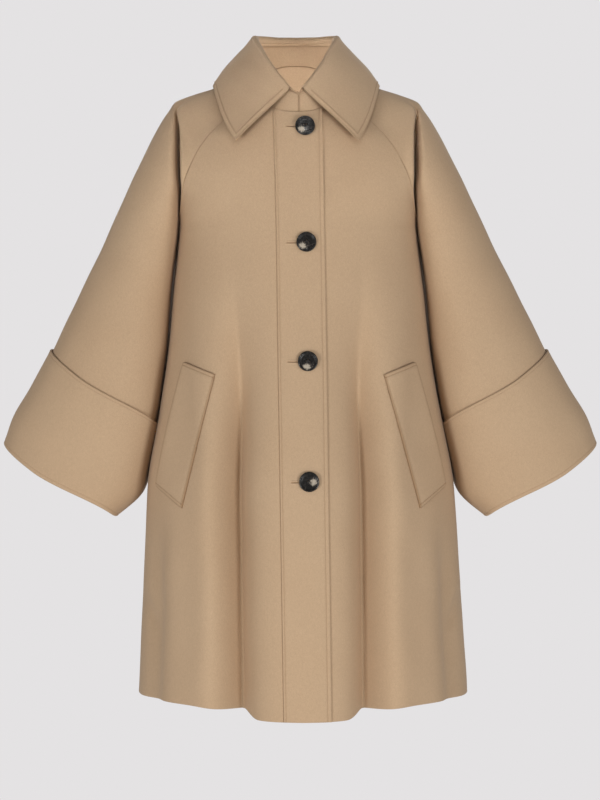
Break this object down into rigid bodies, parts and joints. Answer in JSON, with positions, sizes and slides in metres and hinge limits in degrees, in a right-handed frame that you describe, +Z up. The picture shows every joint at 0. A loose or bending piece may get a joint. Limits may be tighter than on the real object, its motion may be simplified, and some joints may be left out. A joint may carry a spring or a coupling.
{
  "type": "short coat",
  "caption": "Short swing coat in camel wool with raglan sleeves, deep turned-back cuffs, pointed collar, welt pockets and horn buttons, held hollow as worn.",
  "frame": {"origin": "inside the neck opening, level with the base of the neck, where the wearer's shoulders hold the coat up", "axes": "+Z up, -Y towards the coat's front, +X towards the coat's own left"},
  "size_m": [0.889, 0.4046, 1.0092],
  "materials": {
    "wool": "brushed double-faced wool, soft low nap",
    "horn": "polished dark horn"
  },
  "bodies": {
    "root": {"front_right": "wool", "front_band": "wool", "front_left": "wool", "back": "wool", "sleeve_right": "wool", "sleeve_left": "wool", "cuff_right": "wool", "cuff_left": "wool", "collar_stand": "wool", "collar_fall": "wool", "pocket_welt_right": "wool", "pocket_welt_left": "wool", "button_1": "horn", "button_2": "horn", "button_3": "horn", "button_4": "horn"}
  },
  "joints": []
}
